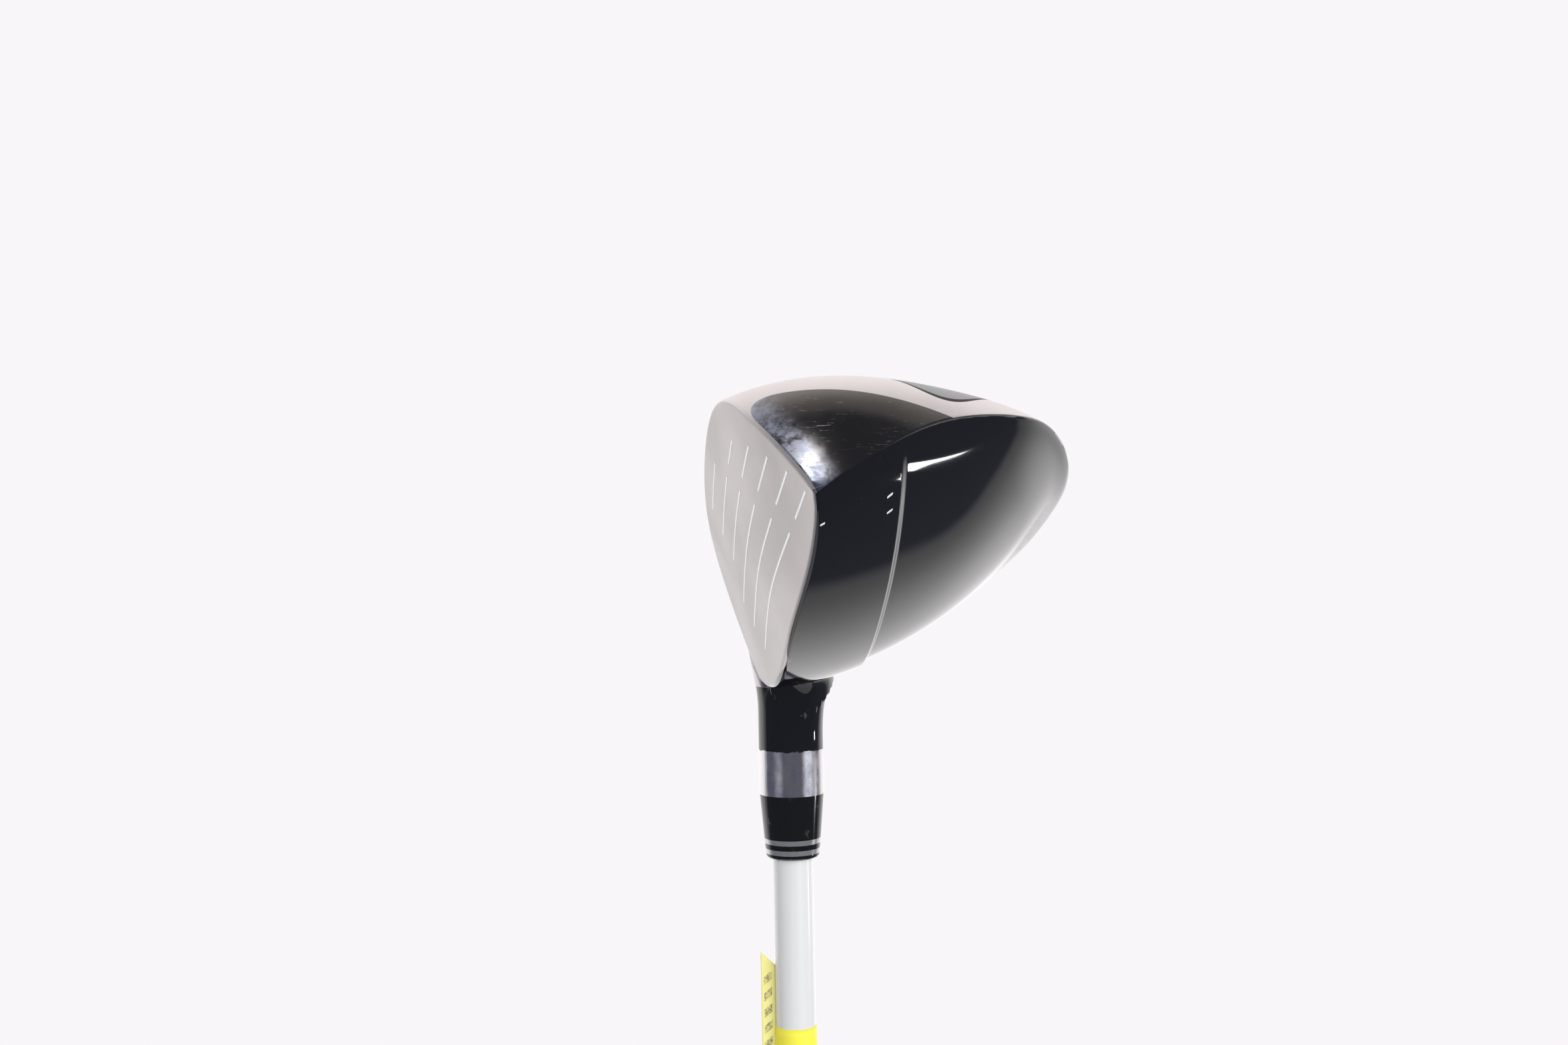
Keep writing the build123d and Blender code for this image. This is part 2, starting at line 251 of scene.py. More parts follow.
def section_planes():
    """Half planes that sweep from across the hosel, round a hinge line, to across the toe."""
    across = np.array([sin(LIE), cos(LIE)])
    up_shaft = np.array([-cos(LIE), sin(LIE)])
    reach = (HINGE_TOE + HINGE_SHAFT * cos(LIE)) / sin(LIE)
    hinge = HINGE_SHAFT * up_shaft + reach * across
    planes = []
    for along in np.linspace(HOSEL_TOP, HINGE_SHAFT, NECK_RINGS, endpoint=False):
        planes.append((along * up_shaft + reach * across, across))
    for tilt in np.linspace(LIE, 0, FAN_RINGS, endpoint=False):
        planes.append((hinge, np.array([sin(tilt), cos(tilt)])))
    for turn in np.linspace(0, pi / 2, HEAD_RINGS):
        toe = HINGE_TOE + (TOE_END - HINGE_TOE) * sin(turn)
        planes.append((np.array([toe, hinge[1]]), np.array([0.0, 1.0])))
    starts = np.array([plane[0] for plane in planes])
    ups = np.array([plane[1] for plane in planes])
    return starts, ups, reach


def section_middles(starts, ups, reach):
    """Centre of area of the head's section in each plane, evened out from plane to plane."""
    across, up = np.meshgrid(np.arange(-24, 72, 1.5), np.arange(-75, -0.5, 1.5), indexing="ij")
    near_shaft = (np.abs(across) < 14) & (np.abs(up + reach) < 14)
    middles = []
    for index, (start, rise) in enumerate(zip(starts, ups)):
        weight = np.clip(0.5 - head(across, start[0] + up * rise[0], start[1] + up * rise[1]) / 1.5, 0, 1)
        if index <= NECK_RINGS:
            weight = weight * near_shaft
        middles.append((np.sum(weight * across), np.sum(weight * up)) / np.sum(weight))
    middles = np.array(middles)
    for _ in range(8):
        middles[1:-1] = (middles[:-2] + 2 * middles[1:-1] + middles[2:]) / 4
    return middles


def ring_points(starts, ups, middles, angles):
    """Points where rays from each section's middle, at these angles, leave the head."""
    over, rise = np.cos(angles), np.sin(angles)
    limit = (-middles[:, 1:] - 0.3) / np.maximum(rise, 1e-6)
    far = np.where(rise > 0, np.minimum(90.0, limit), 90.0)
    far[:NECK_RINGS] = np.minimum(far[:NECK_RINGS], 25)
    near = np.zeros_like(far)

    def place(distance):
        """Points at these distances along the rays."""
        b = middles[:, :1] + distance * over
        up = middles[:, 1:] + distance * rise
        return b, starts[:, :1] + up * ups[:, :1], starts[:, 1:] + up * ups[:, 1:]

    for _ in range(22):
        half = (near + far) / 2
        inside = head(*place(half)) < 0
        near = np.where(inside, half, near)
        far = np.where(inside, far, half)
    return place(near)


def crossings(angles, values, low, high):
    """Angle, in each ring, where values first turn positive between two angles in degrees."""
    start = np.searchsorted(angles, radians(low))
    stop = np.searchsorted(angles, radians(high))
    window = values[:, start:stop]
    turns = (window[:, :-1] <= 0) & (window[:, 1:] > 0)
    step = np.argmax(turns, axis=1)
    rows = np.arange(len(values))
    before, after = window[rows, step], window[rows, step + 1]
    share = np.clip(-before / np.where(after == before, 1, after - before), 0, 1)
    found = np.flatnonzero(turns.any(axis=1))
    exact = angles[start + step] + share * (angles[1] - angles[0])
    return np.interp(rows, found, exact[found])


def feature_angles(starts, ups, middles):
    """Angles of the crown's edge, crease, topline and leading edge, one row per ring."""
    first_good = NECK_RINGS + FAN_RINGS * 3 // 4
    angles = np.linspace(-pi / 2, 3 * pi / 2, 361)
    rings = np.broadcast_to(angles, (len(starts), len(angles)))
    b, t, c = ring_points(starts, ups, middles, rings)
    on_face = -skin(b, t, c) - face_depth(b, t, c)
    rim = crossings(angles, over_edge(b, t, c), -60, 60)
    topline = crossings(angles, on_face, 60, 200)
    leading = crossings(angles, -on_face, 185, 265)
    crease = crossings(angles, CREASE_BACK - b, 5, 165)
    features = np.stack([rim, crease, topline, leading], 1)
    at_neck = np.radians([-10.0, 50.0, 125.0, 235.0])
    share = smooth(np.arange(first_good) / first_good)[:, None]
    features[:first_good] = at_neck + (features[first_good] - at_neck) * share
    span = features[:, 2] - features[:, 0]
    features[:, 1] = np.clip(features[:, 1], features[:, 0] + 0.08 * span, features[:, 0] + 0.9 * span)
    return features


def column_angles(features):
    """Ray angles that put a column on every feature and crowd together beside it."""
    ends = np.concatenate([features, features[:, :1] + 2 * pi], axis=1)
    columns = []
    for index, count in enumerate(RING_COLUMNS):
        share = np.linspace(0, 1, count, endpoint=False)
        share = share - 0.7 * np.sin(2 * pi * share) / (2 * pi)
        start, end = ends[:, index, None], ends[:, index + 1, None]
        columns.append(start + (end - start) * share)
    return np.concatenate(columns, axis=1)


def unit(vectors):
    """Vectors scaled to length 1."""
    return vectors / np.linalg.norm(vectors, axis=-1, keepdims=True)


def gradient(field, b, t, c):
    """Unit slope of a field in the address frame."""
    small = 0.06
    return unit(np.stack([
        field(b + small, t, c) - field(b - small, t, c),
        field(b, t + small, c) - field(b, t - small, c),
        field(b, t, c + small) - field(b, t, c - small),
    ], -1))


def surface_normals(b, t, c):
    """Outward unit normals in the row frame; the crown's rear edge is shaded as a softer roll."""
    normals = gradient(head, b, t, c)
    near_edge = smooth((edge(b, t)[0] - 0.70) / 0.25)
    lean = EDGE_LEAN * near_edge * smooth((b - 28) / 14)
    outward = unit(np.stack([b - CENTRE_BACK, t - CENTRE_TOE, 0 * c], -1))
    normals = normals + outward * lean[..., None]
    origin = to_row(0 * b, 0 * t, 0 * c)
    return unit(to_row(normals[..., 0], normals[..., 1], normals[..., 2]) - origin)


def front_paint(b, t, c, behind, on_face):
    """Above 0 where the crown's paint reaches in front: to the topline, and to a curve at the heel."""
    up_face = (b + FACE_FORWARD) * sin(LOFT) + c * cos(LOFT)
    heel_curve = 44.9 - 6.7 * (np.sqrt(1 + ((36 - t) / 16) ** 2) - 1)
    heel_side = np.maximum(up_face - heel_curve, behind - 10)
    return blend(heel_side, -on_face, smooth((t - 31) / 8))


def panel_field(b, c, behind):
    """Above 0 on the smoked panel, between the face and a line that rises towards the back."""
    low_line = 10.35 + 0.07 * b + 0.0065 * b * b
    return -smooth_max(low_line - c, 0.6 - behind, 7.0)


def plate_field(b, t):
    """Above 0 on the sole's dark plate, which has a curved side and a slanted one at the toe."""
    curved_side = 68.6 - t - 0.05 * (b - 18.5) ** 2
    slanted_side = (67.8 - t - 0.45 * (b - 23.7)) / 1.1
    return np.minimum(np.minimum(curved_side, slanted_side), np.minimum(b - 6, t - 14))


def finish_fields(b, t, c):
    """Signed distances, in millimetres, that say where each finish lies on the head."""
    behind = face_depth(b, t, c)
    on_face = -skin(b, t, c) - behind
    along = shaft_distance(b, t, c)[0]
    on_crown_side = np.minimum(over_edge(b, t, c), front_paint(b, t, c, behind, on_face))
    return {
        "paint": np.maximum(on_crown_side, along - NECK_PAINT_START),
        "face": on_face,
        "panel": panel_field(b, c, behind),
        "plate": plate_field(b, t),
        "behind": behind,
        "neck": along,
    }


def new_object(name, vertices, faces, material):
    """Mesh object, smooth shaded, from row-frame points in millimetres."""
    mesh = bpy.data.meshes.new(name)
    mesh.from_pydata((np.asarray(vertices) / 1000).tolist(), [], [list(face) for face in faces])
    mesh.shade_smooth()
    mesh.materials.append(material)
    piece = bpy.data.objects.new(name, mesh)
    bpy.context.scene.collection.objects.link(piece)
    return piece


def head_piece(name, faces, points, normals, fields, material):
    """One piece of the head, cut from the whole grid with its normals and finish fields."""
    used, numbers = np.unique(faces, return_inverse=True)
    piece = new_object(name, points[used], numbers.reshape(faces.shape), material)
    piece.data.normals_split_custom_set_from_vertices(normals[used].tolist())
    for field, values in fields.items():
        attribute = piece.data.attributes.new(field, "FLOAT", "POINT")
        attribute.data.foreach_set("value", values[used].astype(np.float32))
    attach(piece, "root")
    return piece


def close_ends(rings):
    """Add a smaller ring inside the first, for the hosel's rim, and a point inside the last."""
    closed = [rings]
    for ring, share in ((rings[0], BORE_SHARE), (rings[-1], 0.0)):
        middle = (ring.min() + ring.max()) / 2
        closed.append((middle + (ring - middle) * share)[None, :])
    return np.concatenate([closed[1], closed[0], closed[2]])


def head_grid():
    """Address-frame coordinates of the head's surface, one row for each section from neck to toe."""
    starts, ups, reach = section_planes()
    middles = section_middles(starts, ups, reach)
    angles = column_angles(feature_angles(starts, ups, middles))
    return [close_ends(values) for values in ring_points(starts, ups, middles, angles)]


def build_head(material):
    """Crown, body, face and neck as separate pieces that share one smooth surface."""
    b, t, c = head_grid()
    rings, columns = b.shape
    points = to_row(b, t, c).reshape(-1, 3)
    normals = surface_normals(b, t, c).reshape(-1, 3)
    fields = {name: values.reshape(-1) for name, values in finish_fields(b, t, c).items()}

    first = np.arange(rings - 1)[:, None] * columns + np.arange(columns)[None, :]
    beside = np.roll(first, -1, axis=1)
    faces = np.stack([first, first + columns, beside + columns, beside], -1).reshape(-1, 4)
    neck = fields["neck"][faces].mean(1) > NECK_START
    face = ~neck & (fields["face"][faces].mean(1) > 0)
    over = over_edge(b, t, c).reshape(-1)[faces].mean(1) > 0
    crown = ~neck & ~face & over
    body = ~neck & ~face & ~over
    for name, chosen, node, slot in (
        ("crown", crown, "crown_shell", "black_paint"),
        ("body", body, "head_body", "satin_body"),
        ("face", face, "face_plate", "satin_face"),
        ("neck", neck, "hosel_neck", "black_paint"),
    ):
        piece = head_piece(name, faces[chosen], points, normals, fields, material)
        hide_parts(node)


def grid_faces(rows, columns):
    """Faces of an open grid of points."""
    first = (np.arange(rows - 1)[:, None] * columns + np.arange(columns - 1)[None, :]).ravel()
    return np.stack([first, first + 1, first + columns + 1, first + columns], -1)


def strip(name, middle, half_width, rise, place, material):
    """Low ribbon along a line of (x, y) points, with place(x, y, rise) giving its points in 3D."""
    across = np.linspace(-1, 1, 5)
    x = middle[:, :1] + 0 * across
    y = middle[:, 1:] + half_width[:, None] * across
    points = place(x, y, 0.02 + rise * (1 - across ** 2) + 0 * x)
    return new_object(name, points.reshape(-1, 3), grid_faces(len(middle), 5), material)


def rounded_line(start, end, width):
    """Places along a line and its half width at each, so that both ends are round."""
    radius = width / 2
    place = (start + end) / 2 + (end - start) / 2 * np.sin(np.linspace(-pi / 2, pi / 2, 41))
    past = np.maximum(np.abs(place - (start + end) / 2) - (end - start) / 2 + radius, 0)
    return place, np.sqrt(np.maximum(radius ** 2 - past ** 2, 0))


def on_face(toe, up, rise):
    """Row-frame points on the bulged face, lifted off it by rise."""
    height = up * cos(LOFT)
    for _ in range(3):
        depth = face_bulge(toe, height) - rise
        height = up * cos(LOFT) - depth * sin(LOFT)
    return to_row(depth * cos(LOFT) + up * sin(LOFT) - FACE_FORWARD, toe, height)


def add_score_lines():
    """White painted lines across the face, parted by a slanted plain stripe, with a faint painted glow.
    """
    # The emission is a painted glow that makes the white lines brighter than the light on them would.
    paint = simple_finish(
        "score_paint_with_painted_glow", grey(0.85), grey(0.97), 0.5, scale=900,
        Emission_Color=grey(1.0), Emission_Strength=0.15,
    )
    for index, (heel, toe) in enumerate(zip(LINE_HEELS, LINE_TOES)):
        up = LINE_FIRST + index * LINE_PITCH
        stripe = STRIPE_TOE + STRIPE_SLANT * up
        for part, start, end in (("heel", heel, stripe), ("toe", stripe + STRIPE_WIDTH, toe)):
            if start < end:
                place, half = rounded_line(start, end, LINE_WIDTH)
                middle = np.stack([place, 0 * place + up], -1)
                line = strip(f"score_line_{index + 1}_{part}", middle, half, 0.05, on_face, paint)
                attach(line, "root")


def on_crown(back, toe, rise):
    """Row-frame points on top of the head, lifted off it by rise."""
    low, high = np.full(back.shape, 20.0), np.full(back.shape, 60.0)
    for _ in range(24):
        middle = (low + high) / 2
        inside = head(back, toe, middle) < 0
        low, high = np.where(inside, middle, low), np.where(inside, high, middle)
    return to_row(back, toe, low + rise)


def add_painted_crown_reflections():
    """Small white dashes at the toe end of the crown, painted in as reflections of window light."""
    paint = simple_finish("painted_reflection_paint", grey(0.75), grey(0.95), 0.5, scale=900)
    for index, (back, toe, length) in enumerate(CROWN_REFLECTION_MARKS):
        place, half = rounded_line(back - length / 2, back + length / 2, 0.4)
        middle = np.stack([place, 0 * place + toe], -1)
        mark = strip(f"crown_mark_{index + 1}", middle, half, 0.03, on_crown, paint)
        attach(mark, "root")


def lathe(name, radius, angles, heights, material, closed=False):
    """Surface about the shaft axis, from a grid of radii with one row per height."""
    x = radius * np.cos(angles)[None, :]
    y = radius * np.sin(angles)[None, :]
    z = heights[:, None] + 0 * x
    points = np.stack([x, y, z], -1).reshape(-1, 3)
    rows, columns = radius.shape
    faces = grid_faces(rows, columns)
    if closed:
        first = np.arange(rows - 1) * columns
        seam = np.stack([first + columns - 1, first, first + columns, first + 2 * columns - 1], -1)
        faces = np.concatenate([faces, seam])
    piece = new_object(name, points, faces, material)
    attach(piece, "root")
    return piece


def box_mm(node):
    """Low and high corner of a CAD node's box, in millimetres."""
    return [np.array(corner) * 1000 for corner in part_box(node)]


def add_label():
    """Paper label wrapped round the shaft, a little wavy, with an overlapping seam."""
    low, high = box_mm("shaft_label")
    outer = (high[0] - low[0]) / 2
    angles = np.linspace(0.0, 2 * pi + 0.35, 120)
    heights = np.concatenate([[low[2]], np.linspace(low[2], high[2], 30), [high[2]]])
    wavy = 0.03 * np.sin(3 * angles)[None, :] * np.sin(heights / 5.0)[:, None]
    radius = outer - 0.1 + 0.09 * angles / (2 * pi) + wavy
    radius[[0, -1]] = outer - LABEL_THICKNESS
    wrap = lathe("label_wrap", radius, angles, heights, label_finish())
    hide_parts("shaft_label")


def add_flag():
    """The label's free end, folded double and standing off the shaft, with a slanted top."""
    low, high = box_mm("label_flag")
    across, up = np.meshgrid(np.linspace(0, 1, 13), np.linspace(0, 1, 80))
    slanted_top = high[2] - 3.0 * across
    points = np.stack([
        low[0] + 0.15 + (high[0] - low[0] + 0.05) * across,
        0.12 * np.sin(5 * up + 3 * across) * (1 - across),
        low[2] + 0.3 + (slanted_top - low[2] - 0.5) * up,
    ], -1)
    flag = new_object("flag_sheet", points.reshape(-1, 3), grid_faces(80, 13), flag_finish(low, high))
    ply = flag.modifiers.new("ply", "SOLIDIFY")
    ply.thickness = 0.00022
    ply.offset = 0
    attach(flag, "root")
    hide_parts("label_flag")


def add_grip():
    """Rubber grip with crossing grooves between plain ends and two ring grooves at each end."""
    low, high = box_mm("grip_sleeve")
    butt_radius = (high[0] - low[0]) / 2
    angles = np.linspace(0, 2 * pi, 144, endpoint=False)
    heights = np.linspace(low[2] + 0.2, high[2] - 0.2, 480)
    share = (heights - low[2]) / (high[2] - low[2])
    taper = blend(butt_radius, GRIP_MOUTH_RADIUS, share)
    turns = angles[None, :] / (2 * pi) * 10
    rise = heights[:, None] / 9.0
    groove = 0
    for way in (turns + rise, turns - rise):
        groove = np.maximum(groove, smooth(1 - np.abs(way % 1 - 0.5) / 0.11))
    patterned = smooth((share - 0.06) / 0.01) * smooth((0.94 - share) / 0.01)
    rings = sum(smooth(1 - np.abs(heights - low[2] - at) / RING_HALF_WIDTH) for at in GRIP_RINGS)
    radius = taper[:, None] - GRIP_DEPTH * groove * patterned[:, None] - RING_DEPTH * rings[:, None]
    radius[[0, -1]] = taper[[0, -1], None] - 0.6
    rubber = simple_finish("rubber_finish", grey(0.010), grey(0.028), 0.7, scale=1400, depth=0.00005)
    sleeve = lathe("grip_rubber_sleeve", radius, angles, heights, rubber, closed=True)
    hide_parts("grip_sleeve")


class Nodes:
    """Node tree of a material or the world, with short ways to add and link nodes."""

    def __init__(self, owner, output):
        owner.use_nodes = True
        self.owner = owner
        self.tree = owner.node_tree
        self.tree.nodes.clear()
        self.output = self.tree.nodes.new(output)

    def put(self, socket, value):
        """Link a socket, or set it to a plain value."""
        if isinstance(value, bpy.types.NodeSocket):
            self.tree.links.new(value, socket)
        else:
            socket.default_value = value

    def node(self, kind, settings=None, **inputs):
        """Add a node; inputs go by name, or by number as _0, _1 and so on."""
        node = self.tree.nodes.new("ShaderNode" + kind)
        for key, value in (settings or {}).items():
            setattr(node, key, value)
        for key, value in inputs.items():
            socket = node.inputs[int(key[1:])] if key[0] == "_" else node.inputs[key.replace("_", " ")]
            self.put(socket, value)
        return node

    def math(self, operation, a, b=0.0):
        """Result of a math node."""
        return self.node("Math", {"operation": operation}, _0=a, _1=b).outputs[0]

    def ramp(self, value, low, high, out_low=0.0, out_high=1.0):
        """Eased change from out_low to out_high as the value goes from low to high."""
        settings = {"interpolation_type": "SMOOTHSTEP"}
        limits = {"_1": low, "_2": high, "_3": out_low, "_4": out_high}
        return self.node("MapRange", settings, _0=value, **limits).outputs[0]

    def mix(self, share, a, b):
        """Colour share of the way from a to b."""
        return self.node("MixRGB", None, _0=share, _1=a, _2=b).outputs[0]

    def field(self, name):
        """Value stored on the mesh."""
        return self.node("Attribute", {"attribute_name": name}).outputs["Fac"]

    def noise(self, scale, detail=4.0, stretch=(1, 1, 1), rough=0.5):
        """Noise fixed to the object, stretched where a number is under 1."""
        place = self.node("TexCoord").outputs["Object"]
        scaled = self.node("Mapping", None, Vector=place, Scale=stretch).outputs[0]
        texture = self.node("TexNoise", None, Vector=scaled, Scale=scale, Detail=detail, Roughness=rough)
        return texture.outputs["Fac"]

    def bump(self, height, distance, strength=1.0):
        """Normal shaped by a height."""
        return self.node("Bump", None, Height=height, Distance=distance, Strength=strength).outputs[0]

    def surface(self, **inputs):
        """Principled shader."""
        return self.node("BsdfPrincipled", None, **inputs).outputs[0]

    def blend(self, share, a, b):
        """Shader share of the way from a to b."""
        return self.node("MixShader", None, _0=share, _1=a, _2=b).outputs[0]

    def finish(self, shader):
        """Link the last shader and return the material or world."""
        self.tree.links.new(shader, self.output.inputs[0])
        return self.owner


def new_finish(name):
    """Empty node tree of a new material."""
    return Nodes(bpy.data.materials.new(name), "ShaderNodeOutputMaterial")


def grey(value, warm=0.0):
    """Opaque grey, a little redder and less blue when warm is above 0."""
    return (value * (1 + warm), value, value * (1 - warm), 1.0)


def satin_metal(s, dark, light, metal, rough, grain):
    """Bead-blasted metal, a little cloudy."""
    cloud = s.noise(60, 5.0)
    return s.surface(
        Base_Color=s.mix(cloud, dark, light), Metallic=metal,
        Roughness=s.ramp(cloud, 0.3, 0.7, rough - 0.04, rough + 0.04), Normal=grain,
    )


def gloss_paint(s):
    """Polished black paint with a faint waviness and hairline scratches."""
    scratch = s.ramp(s.noise(260, 6.0, (1, 14, 2), 0.7), 0.66, 0.70)
    return s.surface(
        Base_Color=s.mix(scratch, (0.004, 0.004, 0.006, 1), grey(0.03)), IOR=1.65,
        Roughness=s.ramp(scratch, 0.0, 1.0, 0.045, 0.14), Normal=s.bump(s.noise(90, 2.0), 0.000004),
    )


def smoked_panel(s):
    """Dark polished panel, smoky and scratched, rougher with scuffs along the face, where a bluish
    lighter colour is painted in as a sheen of overhead light.
    """
    cloud = s.noise(110, 6.0, (1, 1, 1), 0.65)
    scratch = s.ramp(s.noise(170, 9.0, (1, 5, 26), 0.75), 0.60, 0.68)
    scuff_and_sheen_near_face = s.math("SUBTRACT", 1.0, s.ramp(s.field("behind"), 1.5, 8.0))
    patchy = s.ramp(s.noise(420, 8.0, (1, 1, 1), 0.72), 0.30, 0.66)
    scuff = s.math("MULTIPLY", scuff_and_sheen_near_face, patchy)
    colour = s.mix(cloud, (0.095, 0.087, 0.080, 1), (0.155, 0.14, 0.13, 1))
    colour = s.mix(s.math("MULTIPLY", scratch, 0.5), colour, (0.48, 0.46, 0.44, 1))
    # The bluish lighter colour near the face is a painted sheen of overhead light on the rounded edge;
    # the added roughness there is real scuffing.
    return s.surface(
        Base_Color=s.mix(s.math("MULTIPLY", scuff, 0.6), colour, (0.52, 0.57, 0.72, 1)), Metallic=1.0,
        Roughness=s.math("ADD", s.ramp(cloud, 0.3, 0.7, 0.08, 0.15), s.math("MULTIPLY", scuff, 0.28)),
        Normal=s.bump(scratch, 0.000006),
    )


def bare_metal(s):
    """Bare machined metal of the neck, mottled bluish and cream, with two painted highlight streaks down
    it.
    """
    mottle = s.noise(330, 6.0, (1, 1, 0.7), 0.65)
    grain = s.noise(900, 4.0, (1, 1, 0.04), 0.6)
    place = s.node("SeparateXYZ", None, Vector=s.node("TexCoord").outputs["Object"]).outputs
    # The two streaks are painted highlights: bands at fixed sides of the neck, lighter, bluish and less
    # metallic, that stand in for reflections of two narrow upright lamps.
    side = s.math("MULTIPLY", place[0], 1000 / HOSEL_RADIUS)
    left = s.ramp(s.math("ABSOLUTE", s.math("ADD", side, 0.5)), 0.02, 0.17, 1.0, 0.0)
    right = s.ramp(s.math("ABSOLUTE", s.math("SUBTRACT", side, 0.42)), 0.04, 0.24, 1.0, 0.0)
    painted_highlight_streak = s.math("MULTIPLY", s.math("MAXIMUM", s.math("MULTIPLY", left, 0.45), right), mottle)
    colour = s.mix(s.ramp(mottle, 0.35, 0.65), (0.60, 0.60, 0.68, 1), (0.78, 0.74, 0.71, 1))
    return s.surface(
        Base_Color=s.mix(painted_highlight_streak, colour, (0.82, 0.85, 1.0, 1)),
        Metallic=s.math("SUBTRACT", 1.0, painted_highlight_streak),
        Roughness=s.ramp(mottle, 0.3, 0.7, 0.14, 0.34), Normal=s.bump(grain, 0.00002, 0.8),
    )


def head_finish():
    """Black paint, satin face and band, smoked toe panel, grey sole plate and bare neck."""
    s = new_finish("head_finish")
    grain = s.bump(s.noise(2600, 3.0), 0.00003, 0.5)
    face = satin_metal(s, (0.54, 0.51, 0.505, 1), (0.61, 0.575, 0.57, 1), 0.85, 0.48, grain)
    band = satin_metal(s, (0.68, 0.63, 0.61, 1), (0.76, 0.705, 0.69, 1), 0.85, 0.42, grain)
    plate = satin_metal(s, grey(0.25), grey(0.31), 0.7, 0.42, grain)
    plate_line = s.surface(Base_Color=grey(0.01), Roughness=0.6)
    look = s.blend(s.ramp(s.field("plate"), 0.0, 0.1), band, plate)
    on_line = s.ramp(s.math("ABSOLUTE", s.field("plate")), 0.22, 0.30, 1.0, 0.0)
    look = s.blend(on_line, look, plate_line)
    look = s.blend(s.ramp(s.field("panel"), -0.05, 0.15), look, smoked_panel(s))
    look = s.blend(s.ramp(s.field("face"), -0.1, 0.1), look, face)
    look = s.blend(s.ramp(s.field("paint"), -0.05, 0.05), look, gloss_paint(s))
    ragged = s.math("ADD", s.field("neck"), s.math("MULTIPLY", s.noise(700, 3.0), 1.2))
    look = s.blend(s.ramp(ragged, BARE_START, BARE_START + 0.15), look, bare_metal(s))
    return s.finish(look)


def simple_finish(name, dark, light, rough, scale=200.0, stretch=(1, 1, 1), depth=0.00003, **more):
    """Finish whose colour and roughness vary with a fine grain."""
    s = new_finish(name)
    grain = s.noise(scale, 5.0, stretch)
    look = s.surface(
        Base_Color=s.mix(grain, dark, light),
        Roughness=s.ramp(grain, 0.3, 0.7, rough * 0.85, rough * 1.15),
        Normal=s.bump(grain, depth), **more,
    )
    return s.finish(look)


def paper(s, colour):
    """Colour and normal of glossy label paper with faint fibres and a soft fade."""
    fibre = s.noise(1500, 5.0, (1, 1, 0.3))
    fade = s.noise(70, 3.0)
    pale = tuple(0.5 + 0.5 * part for part in colour[:3]) + (1.0,)
    tint = s.mix(s.ramp(fade, 0.4, 0.8, 0.0, 0.12), colour, pale)
    return s.mix(s.ramp(fibre, 0.3, 0.7, 0.0, 0.06), tint, grey(0.5)), s.bump(fibre, 0.00001)


def label_finish():
    """Bright yellow paper."""
    s = new_finish("label_finish")
    tint, normal = paper(s, LABEL_YELLOW)
    return s.finish(s.surface(Base_Color=tint, Roughness=0.45, Normal=normal))


def flag_finish(low, high):
    """Pale yellow paper with slanted dark bars, worn away in places."""
    s = new_finish("flag_finish")
    tint, normal = paper(s, FLAG_YELLOW)
    place = s.node("SeparateXYZ", None, Vector=s.node("TexCoord").outputs["Object"]).outputs
    across = s.math("MULTIPLY", s.math("SUBTRACT", place[0], low[0] / 1000), 1000 / (high[0] - low[0]))
    down = s.math("SUBTRACT", (high[2] - 4.5) / 1000, place[2])
    slanted = s.math("ADD", down, s.math("MULTIPLY", across, 0.0024))
    bar = s.ramp(s.math("FRACT", s.math("MULTIPLY", slanted, 290.0)), 0.46, 0.52)
    printed = s.math("MULTIPLY", s.ramp(across, 0.22, 0.27), s.ramp(across, 0.78, 0.83, 1.0, 0.0))
    printed = s.math("MULTIPLY", printed, s.ramp(down, 0.0, 0.0002))
    worn = s.ramp(s.noise(1800, 4.0), 0.35, 0.60, 0.75, 0.25)
    ink = s.math("MULTIPLY", s.math("MULTIPLY", bar, printed), worn)
    return s.finish(s.surface(Base_Color=s.mix(ink, tint, grey(0.09)), Roughness=0.5, Normal=normal))


def scuffed_black(name, rough):
    """Polished black plastic with fine scuffs."""
    s = new_finish(name)
    scuff = s.ramp(s.noise(420, 8.0, (1, 1, 0.5), 0.75), 0.58, 0.68)
    return s.finish(s.surface(
        Base_Color=s.mix(scuff, grey(0.004), grey(0.05)), IOR=1.6,
        Roughness=s.ramp(scuff, 0.0, 1.0, rough, rough + 0.3), Normal=s.bump(scuff, 0.000008),
    ))


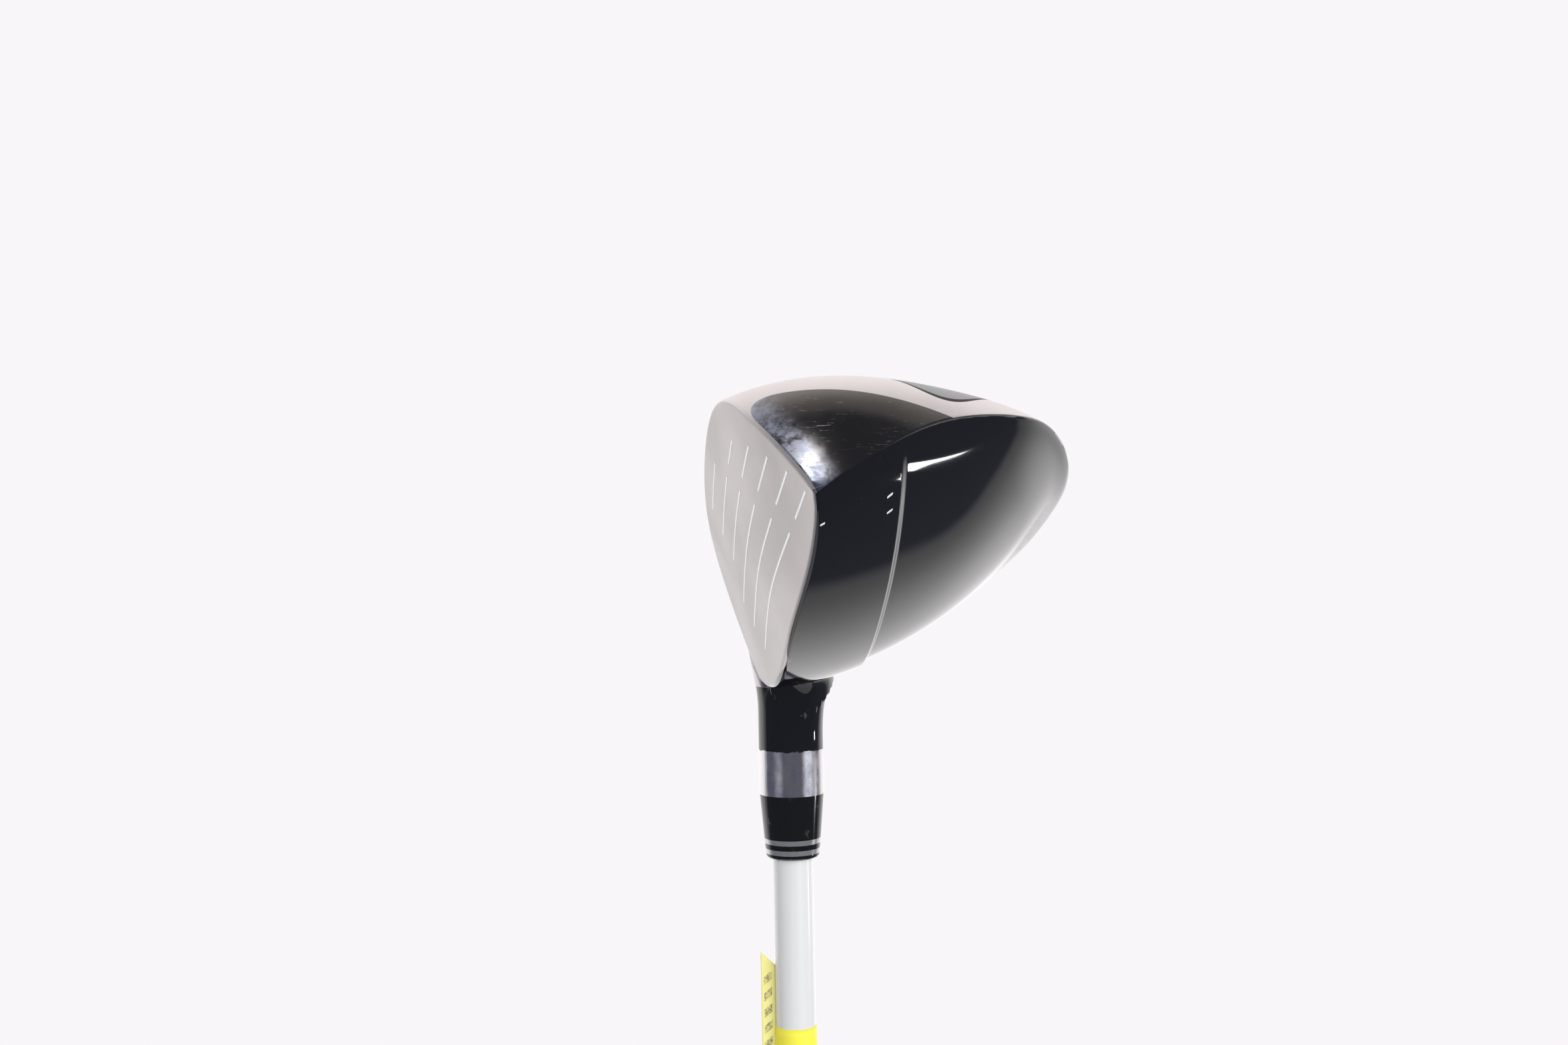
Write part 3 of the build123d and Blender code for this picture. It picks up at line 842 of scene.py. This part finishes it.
def paint_nodes():
    """Procedural finishes for the CAD nodes that are shown as they are."""
    black = scuffed_black("ferrule_finish", 0.10)
    silver = simple_finish(
        "ring_finish", grey(0.50), grey(0.60), 0.24, scale=900, depth=0.00001, Metallic=0.8,
    )
    lacquer = simple_finish(
        "shaft_finish", (0.70, 0.70, 0.69, 1), (0.80, 0.80, 0.785, 1), 0.3, scale=700,
        stretch=(1, 1, 0.01), Coat_Weight=0.6, Coat_Roughness=0.12,
    )
    brass = simple_finish("brass_finish", (0.7, 0.5, 0.2, 1), (0.78, 0.6, 0.3, 1), 0.35, Metallic=1.0)
    looks = {
        "ferrule_body": black,
        "ferrule_spacer": black,
        "ferrule_tip": black,
        "ferrule_ring_upper": silver,
        "ferrule_ring_lower": silver,
        "shaft": lacquer,
        "epoxy_bond": simple_finish("epoxy_finish", (0.5, 0.45, 0.35, 1), (0.6, 0.55, 0.42, 1), 0.5),
        "tip_weight": brass,
        "hosel_plug": simple_finish("plug_finish", (0.6, 0.5, 0.3, 1), (0.7, 0.62, 0.42, 1), 0.5),
        "hot_melt_pad": simple_finish("hot_melt_finish", (0.7, 0.6, 0.35, 1), (0.8, 0.7, 0.45, 1), 0.35),
        "rear_weight": simple_finish("weight_finish", grey(0.2), grey(0.3), 0.6, Metallic=1.0),
        "grip_tape": simple_finish("tape_finish", grey(0.7, 0.05), grey(0.8, 0.05), 0.8),
        "grip_cap": simple_finish("cap_finish", grey(0.01), grey(0.025), 0.6, scale=600),
    }
    for node, look in looks.items():
        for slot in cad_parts[node].material_slots:
            slot.material = look


def room_light():
    """World that is plain and pale to the camera, and to everything else bright only behind the club."""
    world = bpy.data.worlds.new("room")
    bpy.context.scene.world = world
    w = Nodes(world, "ShaderNodeOutputWorld")
    place = w.node("SeparateXYZ", None, Vector=w.node("TexCoord").outputs["Generated"]).outputs
    lift = w.math("ADD", place[1], w.ramp(place[2], -0.5, 0.0, 0.0, 0.24))
    level = w.math("ADD", w.ramp(lift, 0.40, 0.47, 0.15, 0.44), w.ramp(lift, 0.45, 0.78, 0.0, 0.86))
    colour = w.mix(w.ramp(lift, 0.38, 0.50), (0.86, 0.90, 1.12, 1), (1.0, 0.98, 0.985, 1))
    room = w.node("Background", None, Color=colour, Strength=level).outputs[0]
    backdrop = w.node("Background", None, Color=(0.94, 0.922, 0.947, 1), Strength=1.0).outputs[0]
    seen = w.node("LightPath").outputs["Is Camera Ray"]
    w.finish(w.blend(seen, room, backdrop))


def add_light(name, kind, offset, energy, **settings):
    """Light at an offset from the middle of the head, turned to it."""
    data = bpy.data.lights.new(name, kind)
    data.energy = energy
    for key, value in settings.items():
        setattr(data, key, value)
    light = bpy.data.objects.new(name, data)
    light.location = HEAD_MIDDLE + Vector(offset)
    light.rotation_euler = (-Vector(offset)).to_track_quat("-Z", "Y").to_euler()
    bpy.context.scene.collection.objects.link(light)
    return light


def add_lights():
    """Small bright lamps behind and above the head, and two soft fills that leave no reflection."""
    add_light("lamp", "AREA", (0.672, 0.035, -0.189), 0.13, size=0.045)
    add_light("lamp_above", "AREA", (-0.025, -0.10, 0.735), 0.5, size=0.08)
    for side, offset, energy in (
        ("right", (0.595, -0.845, 0.25), 3.1),
        ("left", (-0.905, -0.445, 0.25), 1.3),
    ):
        fill = add_light("fill_" + side, "SUN", offset, energy, angle=radians(60))
        fill.visible_glossy = False


def add_floor():
    """Round pale floor just under the grip cap."""
    angles = np.linspace(0, 2 * pi, 65)
    radii = 1000 * np.linspace(0, FLOOR_RADIUS, 4)[:, None] + 0 * angles[None, :]
    points = np.stack([radii * np.cos(angles), radii * np.sin(angles), 0 * radii - 0.2], -1)
    look = simple_finish("floor_finish", grey(0.80), grey(0.84), 0.8, scale=30)
    new_object("floor", points.reshape(-1, 3), grid_faces(4, 65), look)


def add_camera():
    """Camera close to the toe, level with the head, turned a little towards the face."""
    turn, tip, roll = radians(6.461), radians(0.6355), radians(1.0657)
    back = Vector((-sin(turn) * cos(tip), -cos(turn) * cos(tip), sin(tip)))
    right = Vector((cos(turn), -sin(turn), 0))
    up = back.cross(right)
    rolled_right = right * cos(roll) - up * sin(roll)
    rolled_up = right * sin(roll) + up * cos(roll)
    data = bpy.data.cameras.new("camera")
    data.lens = 41.41
    data.sensor_width = 36
    data.clip_start = 0.01
    camera = bpy.data.objects.new("camera", data)
    axes = Matrix((rolled_right, rolled_up, back)).transposed().to_4x4()
    camera.matrix_world = Matrix.Translation(CAMERA_PLACE) @ axes
    bpy.context.scene.collection.objects.link(camera)
    bpy.context.scene.camera = camera


build_head(head_finish())
add_score_lines()
add_painted_crown_reflections()
add_label()
add_flag()
add_grip()
paint_nodes()
bpy.context.scene.view_settings.view_transform = "Standard"
room_light()
add_lights()
add_floor()
add_camera()
